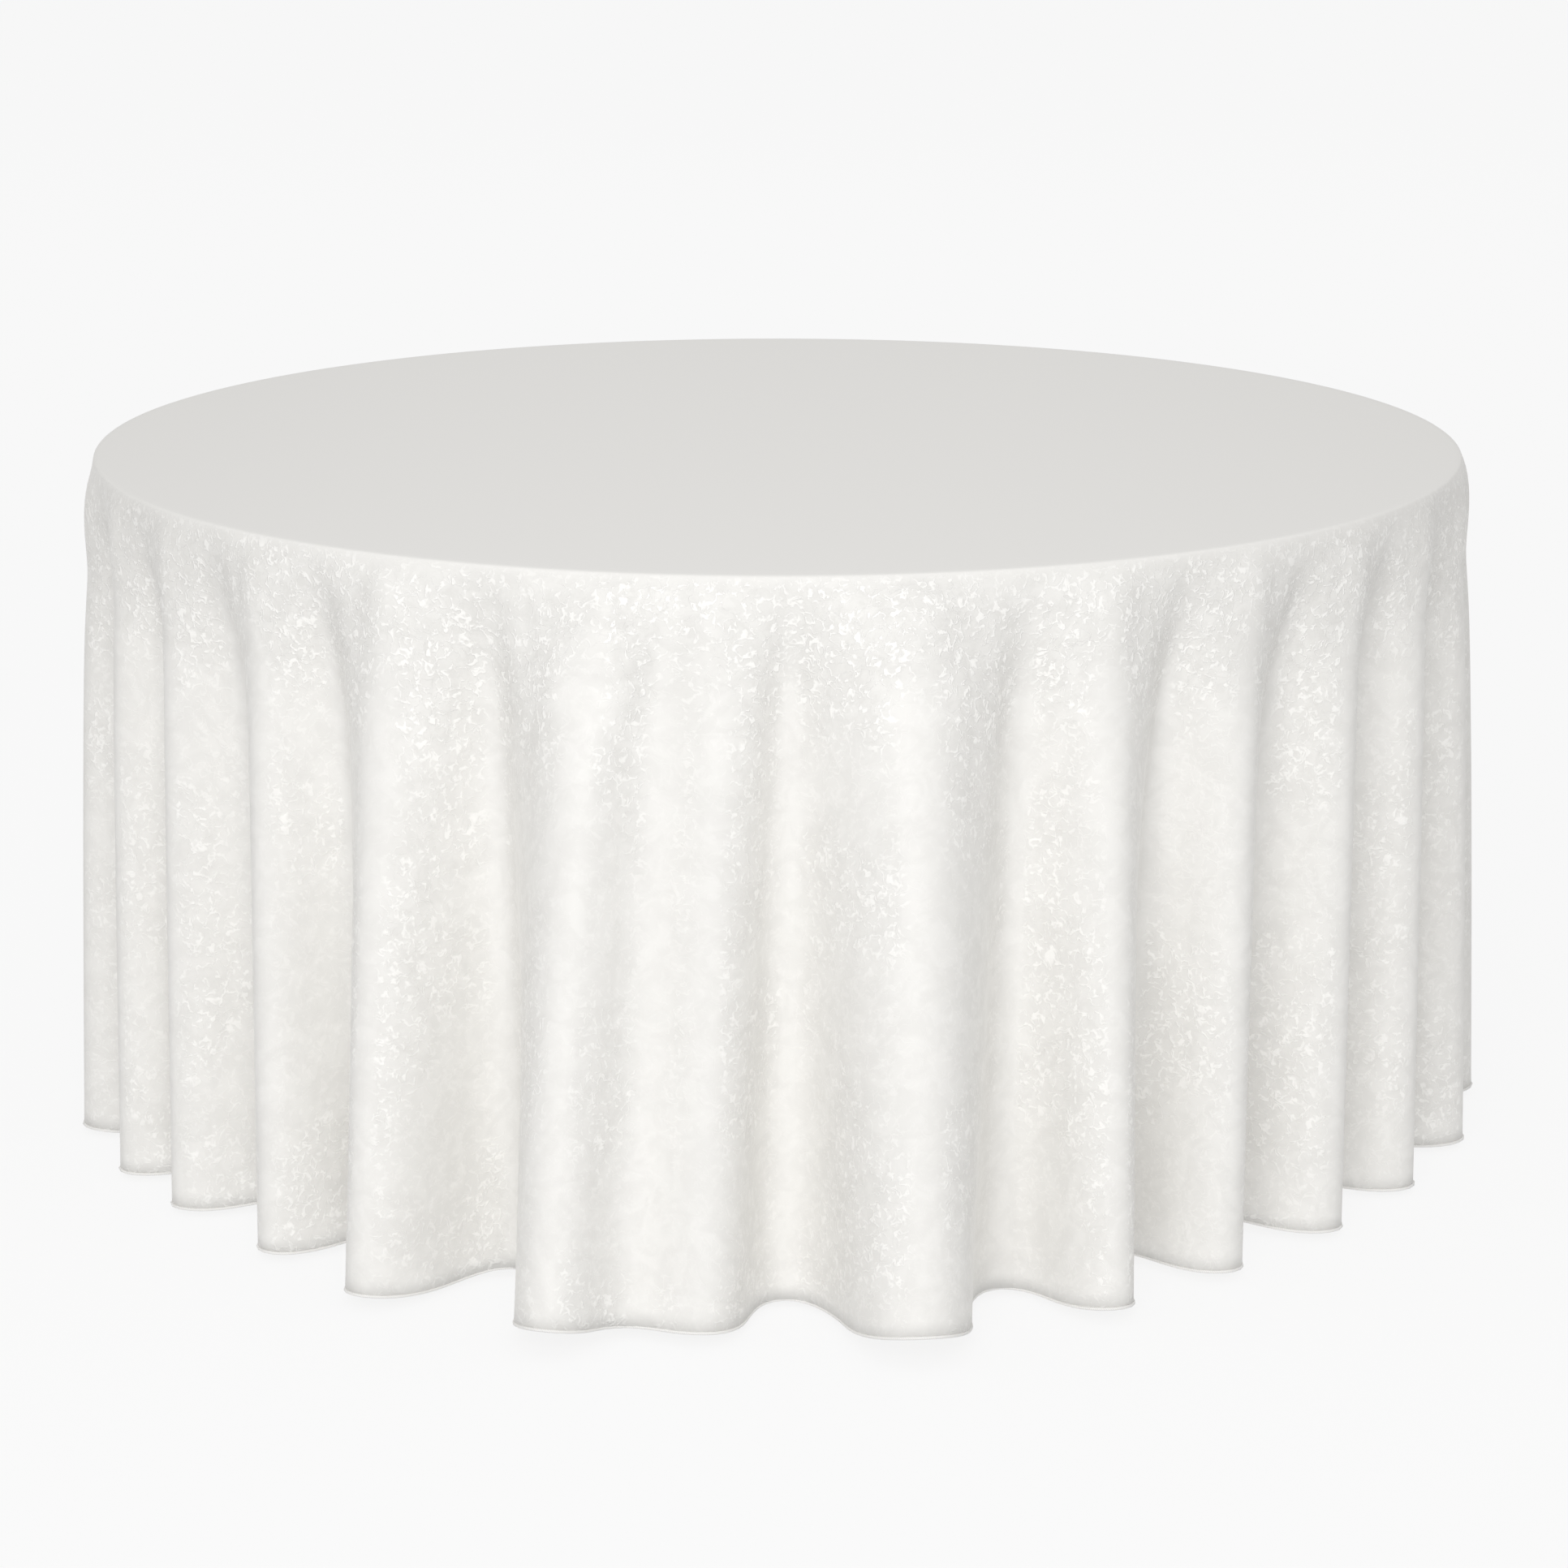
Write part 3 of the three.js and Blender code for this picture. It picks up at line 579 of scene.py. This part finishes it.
def crushed_pile_group():
    """Crushed velvet's pile: flakes of pile pressed flat, wormy creases and soft patches. The
    velvet paints the creases into its colour as bright highlights.
    """
    group, given, result = start_group(
        "crushed_pile",
        [("Cloth", VECTOR, None), ("Flake Size", NUMBER, FLAKE_SIZE)],
        [("Flakes", NUMBER), ("Creases", NUMBER), ("Nap", NUMBER), ("Patches", NUMBER),
         ("Height", NUMBER)])
    cloth = given.outputs["Cloth"]
    ragged = add_node(group, "ShaderNodeTexNoise", Vector=cloth, Scale=TORN_SCALE,
                      Detail=3.0)
    centred = add_node(group, "ShaderNodeVectorMath", {"operation": "SUBTRACT"})
    plug(group, centred, "in0", ragged.outputs["Color"])
    plug(group, centred, "in1", (NOISE_MIDDLE, NOISE_MIDDLE, NOISE_MIDDLE))
    torn = add_node(group, "ShaderNodeVectorMath", {"operation": "MULTIPLY_ADD"})
    plug(group, torn, "in0", centred.outputs[0])
    plug(group, torn, "in1", (TORN_REACH, TORN_REACH, 0.0))
    plug(group, torn, "in2", cloth)
    per_metre = calculate(group, "DIVIDE", 1.0, given.outputs["Flake Size"])
    flakes = None
    for finer, share in FLAKE_LAYERS:
        cells = add_node(group, "ShaderNodeTexVoronoi", Vector=torn.outputs[0],
                         Scale=calculate(group, "MULTIPLY", per_metre, finer))
        shade = add_node(group, "ShaderNodeSeparateColor", Color=cells.outputs["Color"])
        flakes = calculate(group, "MULTIPLY_ADD", shade.outputs[0], share, flakes or 0.0)
    worms = noise(group, torn.outputs[0], CREASE_SCALE, detail=1.0, distortion=0.8)
    creases = calculate(group, "ABSOLUTE", calculate(group, "SUBTRACT", worms, NOISE_MIDDLE))
    creases = span(group, creases, *CREASE_SPAN, to_low=1.0, to_high=0.0)
    broken = span(group, noise(group, cloth, BREAK_SCALE, detail=1.0), *BREAK_SPAN)
    creases = calculate(group, "MULTIPLY", creases, broken)
    nap = noise(group, cloth, NAP_SCALE, detail=4.0, distortion=1.2)
    nap = span(group, nap, *NAP_SPAN)
    patches = noise(group, cloth, PATCH_SCALE, detail=2.0, distortion=0.4)
    patches = span(group, patches, *PATCH_SPAN)
    height = calculate(group, "MULTIPLY", flakes, FLAKE_HEIGHT)
    height = calculate(group, "MULTIPLY_ADD", creases, CREASE_HEIGHT, height)
    for label, value in (("Flakes", flakes), ("Creases", creases), ("Nap", nap),
                         ("Patches", patches), ("Height", height)):
        plug(group, result, label, value)
    return group


def speckle_group():
    """Fine mottling for paint, plating and plastic, with slow smudges over it."""
    group, given, result = start_group(
        "speckle",
        [("Place", VECTOR, None), ("Fineness", NUMBER, 900.0), ("Smudge Size", NUMBER, 0.06)],
        [("Grit", NUMBER), ("Smudge", NUMBER)])
    place = given.outputs["Place"]
    grit = noise(group, place, given.outputs["Fineness"])
    slow = calculate(group, "DIVIDE", 1.0, given.outputs["Smudge Size"])
    smudge = noise(group, place, slow, detail=4.0, distortion=0.6)
    smudge = span(group, smudge, low=0.35, high=0.68)
    plug(group, result, "Grit", grit)
    plug(group, result, "Smudge", smudge)
    return group


def wood_grain_group():
    """Long streaks of birch grain along X, with darker pores."""
    group, given, result = start_group(
        "birch_grain", [("Place", VECTOR, None)], [("Grain", NUMBER), ("Pores", NUMBER)])
    stretched = add_node(group, "ShaderNodeMapping", Vector=given.outputs["Place"],
                         Scale=(1.2, 16.0, 60.0))
    grain = noise(group, stretched.outputs[0], scale=2.2, detail=5.0, distortion=1.4)
    fine = add_node(group, "ShaderNodeMapping", Vector=given.outputs["Place"],
                    Scale=(6.0, 260.0, 260.0))
    pores = span(group, noise(group, fine.outputs[0], scale=3.0), low=0.56, high=0.70)
    plug(group, result, "Grain", span(group, grain, low=0.32, high=0.70))
    plug(group, result, "Pores", pores)
    return group


# ---- Finishes -----------------------------------------------------------------------------

def crushed_velvet(pile):
    finish, tree, shader = start_material(
        "ivory_crushed_velvet", Roughness=0.55, Sheen_Weight=0.25, Sheen_Roughness=0.35,
        Sheen_Tint=(1.0, 0.985, 0.96, 1.0), Specular_IOR_Level=0.35)
    cloth = add_node(tree, "ShaderNodeUVMap", {"uv_map": "flat_cut"}).outputs[0]
    crush = place_group(tree, pile, Cloth=cloth, Flake_Size=FLAKE_SIZE)
    flakes, creases, nap, patches, height = (
        crush.outputs[label] for label in ("Flakes", "Creases", "Nap", "Patches", "Height"))
    reach = add_node(tree, "ShaderNodeVectorMath", {"operation": "LENGTH"})
    plug(tree, reach, "in0", cloth)
    distance = reach.outputs["Value"]
    # Keeps the crush marks and their painted sheen to the skirt, so the top stays plain.
    skirt = span(tree, distance, TABLE_RADIUS - 0.004, TABLE_RADIUS + 0.016)
    # Painted sheen: the marks show strongest in a band just under the rim and on the folds'
    # flanks, where light grazes the cloth; random patches add to it.
    rim = span(tree, distance, TABLE_RADIUS + 0.03, TABLE_RADIUS + 0.22,
               to_low=RIM_SHEEN_STRENGTH, to_high=0.0)
    flank = add_node(tree, "ShaderNodeAttribute", {"attribute_name": "flank"}).outputs["Fac"]
    crush_and_sheen_strength = calculate(tree, "MULTIPLY_ADD", patches, PATCH_STRENGTH, rim)
    crush_and_sheen_strength = calculate(tree, "MULTIPLY_ADD", flank, FLANK_SHEEN_STRENGTH, crush_and_sheen_strength)
    crush_and_sheen_strength = span(tree, crush_and_sheen_strength, *STRENGTH_SPAN, to_low=LEAST_STRENGTH, to_high=1.0)
    crush_and_sheen_strength = calculate(tree, "MULTIPLY", crush_and_sheen_strength, skirt)
    # The crush marks' colour: random flakes, and wormy creases painted as bright highlights,
    # strongest where the painted sheen is.
    crush_and_highlight = calculate(tree, "MULTIPLY", flakes, FLAKE_SHINE)
    crush_and_highlight = calculate(tree, "MULTIPLY_ADD", creases, CREASE_SHINE, crush_and_highlight)
    crush_and_highlight = calculate(tree, "SUBTRACT", crush_and_highlight, EVEN_SHINE)
    crush_and_highlight = calculate(tree, "MULTIPLY", crush_and_highlight, crush_and_sheen_strength)
    bright = calculate(tree, "MULTIPLY", calculate(tree, "SUBTRACT", nap, NOISE_MIDDLE), skirt)
    bright = calculate(tree, "MULTIPLY_ADD", bright, NAP_CHANGE, PLAIN_SHADE)
    bright = calculate(tree, "MULTIPLY_ADD", crush_and_highlight, CRUSH_AND_SHEEN_CHANGE, bright)
    colour = blend_colours(tree, bright, VELVET_SHADE, VELVET_LIGHT)
    plug(tree, shader, "Base Color", colour)
    plug(tree, shader, "Roughness",
         span(tree, bright, low=0.1, high=0.9, to_low=0.62, to_high=0.40))
    add_bump(tree, shader, calculate(tree, "MULTIPLY", height, crush_and_sheen_strength),
             strength=0.55, distance=0.0016)
    return finish


def hem_thread():
    finish, tree, shader = start_material(
        "ivory_overlock_thread", Roughness=0.55, Sheen_Weight=0.2)
    run = add_node(tree, "ShaderNodeUVMap", {"uv_map": "thread"}).outputs[0]
    slanted = add_node(tree, "ShaderNodeMapping", Vector=run, Rotation=(0, 0, 0.5))
    wraps = add_node(tree, "ShaderNodeTexWave", Vector=slanted.outputs[0], Scale=160.0,
                     Distortion=0.6).outputs["Fac"]
    # Painted shade: the thread is darker in the grooves between its wraps, where the bump is
    # low, and lighter on their crests.
    colour = blend_colours(tree, wraps, THREAD_GROOVE_SHADE, THREAD_LIGHT)
    plug(tree, shader, "Base Color", colour)
    add_bump(tree, shader, wraps, strength=0.6, distance=0.0006)
    return finish


def birch_plywood(grain, speckle):
    finish, tree, shader = start_material("sealed_birch_plywood", Coat_Weight=0.25,
                                          Coat_Roughness=0.25, Roughness=0.45)
    place = add_node(tree, "ShaderNodeTexCoord").outputs["Object"]
    streaks = place_group(tree, grain, Place=place)
    smudge = place_group(tree, speckle, Place=place, Smudge_Size=0.25).outputs["Smudge"]
    colour = blend_colours(tree, streaks.outputs["Grain"], BIRCH_DARK, BIRCH_PALE)
    pores = calculate(tree, "MULTIPLY", streaks.outputs["Pores"], PORE_DEPTH)
    colour = blend_colours(tree, pores, colour, PORE_COLOUR)
    smudge = calculate(tree, "MULTIPLY", smudge, HANDLING)
    colour = blend_colours(tree, smudge, colour, HANDLED_COLOUR)
    plug(tree, shader, "Base Color", colour)
    plug(tree, shader, "Roughness",
         span(tree, streaks.outputs["Grain"], low=0.0, high=1.0, to_low=0.52, to_high=0.40))
    add_bump(tree, shader, streaks.outputs["Pores"], strength=0.2, distance=0.0005)
    return finish


def mottled(name, speckle, shade, light, rough, metal, fineness, grip, **values):
    """A finish with fine grit in its surface and slow smudges in its colour and gloss."""
    finish, tree, shader = start_material(name, Metallic=metal, **values)
    place = add_node(tree, "ShaderNodeTexCoord").outputs["Object"]
    marks = place_group(tree, speckle, Place=place, Fineness=fineness)
    plug(tree, shader, "Base Color",
         blend_colours(tree, marks.outputs["Smudge"], shade, light))
    plug(tree, shader, "Roughness",
         span(tree, marks.outputs["Smudge"], low=0.0, high=1.0,
              to_low=rough + DULLER, to_high=rough - GLOSSIER))
    add_bump(tree, shader, marks.outputs["Grit"], strength=grip, distance=0.0004)
    return finish


def dress_table():
    """Gives every rigid part of the table its finish."""
    speckle, grain = speckle_group(), wood_grain_group()
    finishes = {
        "plywood": birch_plywood(grain, speckle),
        "edge_plastic": mottled(
            "edge_moulding", speckle, shade=(0.030, 0.024, 0.020, 1.0),
            light=(0.055, 0.045, 0.038, 1.0), rough=0.42, metal=0.0, fineness=700.0, grip=0.15),
        "painted_steel": mottled(
            "grey_powder_coat", speckle, shade=(0.20, 0.207, 0.215, 1.0),
            light=(0.27, 0.278, 0.288, 1.0), rough=0.46, metal=0.0, fineness=1500.0, grip=0.35,
            Coat_Weight=0.15, Coat_Roughness=0.3),
        "zinc_steel": mottled(
            "zinc_plate", speckle, shade=(0.50, 0.51, 0.52, 1.0),
            light=(0.72, 0.73, 0.73, 1.0), rough=0.34, metal=1.0, fineness=1100.0, grip=0.12),
        "cap_plastic": mottled(
            "black_cap", speckle, shade=(0.014, 0.014, 0.014, 1.0),
            light=(0.028, 0.028, 0.028, 1.0), rough=0.50, metal=0.0, fineness=800.0, grip=0.25),
    }
    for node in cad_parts.values():
        for slot in node.material_slots:
            if slot.material and slot.material.name in finishes:
                slot.material = finishes[slot.material.name]


# ---- Stage --------------------------------------------------------------------------------

def make_stage():
    deselect_all()
    bpy.ops.mesh.primitive_plane_add(size=FLOOR_SIZE, location=(0, 0, 0))
    floor = bpy.context.active_object
    floor.name = "studio_floor"
    paint, tree, shader = start_material(
        "studio_white", Base_Color=(0.10, 0.10, 0.10, 1.0), Roughness=1.0,
        Specular_IOR_Level=0.0, Emission_Color=(1.0, 1.0, 1.0, 1.0))
    seen = add_node(tree, "ShaderNodeLightPath").outputs["Is Camera Ray"]
    plug(tree, shader, "Emission Strength",
         span(tree, seen, low=0.0, high=1.0, to_low=FLOOR_BOUNCE, to_high=FLOOR_GLOW))
    floor.data.materials.append(paint)


def make_camera():
    camera_data = bpy.data.cameras.new("camera")
    camera_data.sensor_width = SENSOR_WIDTH
    camera_data.lens = CAMERA_LENS
    camera_data.shift_x = CAMERA_SHIFT
    camera = new_object("camera", camera_data)
    camera.location = CAMERA_PLACE
    camera.rotation_euler = (math.radians(90 - CAMERA_TILT), 0, 0)
    bpy.context.scene.camera = camera


def add_softbox(name, place, target, size, power):
    light = bpy.data.lights.new(name, "AREA")
    light.shape = "SQUARE"
    light.size = size
    light.energy = power
    lamp = new_object(name, light)
    lamp.location = place
    lamp.rotation_euler = (Vector(target) - Vector(place)).to_track_quat("-Z", "Y").to_euler()


def make_lights():
    bpy.context.scene.view_settings.view_transform = "Standard"
    world = bpy.data.worlds.new("studio")
    bpy.context.scene.world = world
    world.use_nodes = True
    tree = world.node_tree
    plug(tree, tree.nodes["Background"], "Color", (1, 1, 1, 1))
    height = add_node(tree, "ShaderNodeSeparateXYZ",
                      Vector=add_node(tree, "ShaderNodeTexCoord").outputs["Generated"])
    glow = span(tree, height.outputs[2], low=0.0, high=0.9, to_low=SKY_LOW, to_high=SKY_HIGH)
    seen = add_node(tree, "ShaderNodeLightPath").outputs["Is Camera Ray"]
    backdrop = calculate(tree, "MULTIPLY", seen, BACKDROP)
    plug(tree, tree.nodes["Background"], "Strength", calculate(tree, "MAXIMUM", glow, backdrop))
    add_softbox("front_softbox", place=(-0.8, -8.6, 3.9), target=(0, -0.3, 0.3), size=5.0,
                power=KEY_POWER)
    add_softbox("back_softbox", place=(0, 8.5, 4.2), target=(0, 0, 0.3), size=3.0,
                power=BACK_POWER)


# ---- The whole ----------------------------------------------------------------------------

make_camera()
make_lights()
make_stage()
dress_table()

cloth, hem = make_cloth()
velvet = crushed_velvet(crushed_pile_group())
cloth.data.materials.append(velvet)
hem.data.materials.append(hem_thread())
for piece in (cloth, hem):
    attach(piece, "tablecloth")
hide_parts("tablecloth")
